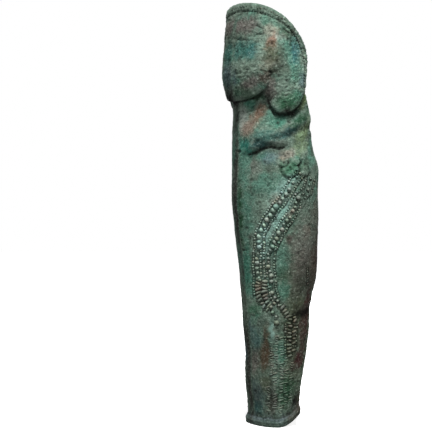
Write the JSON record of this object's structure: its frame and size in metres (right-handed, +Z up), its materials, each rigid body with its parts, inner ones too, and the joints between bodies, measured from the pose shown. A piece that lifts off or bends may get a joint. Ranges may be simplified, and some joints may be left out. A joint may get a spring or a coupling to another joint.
{
  "type": "greave",
  "caption": "Bronze shin guard with a knee hood, swelling calf, bands of embossed beads and a flared ankle rim, open along the back.",
  "frame": {"origin": "centre of the greave's box, on the surface that its ankle rim stands on", "axes": "+Z up the leg, -X out of the shin, +X out of the open back, -Y out of the flank with the embossed bands"},
  "size_m": [0.0848, 0.1084, 0.4412],
  "materials": {
    "patinated_bronze": "corroded bronze with a mottled green, teal and brown patina"
  },
  "bodies": {
    "root": {"greave_shell": "patinated_bronze"}
  },
  "joints": []
}
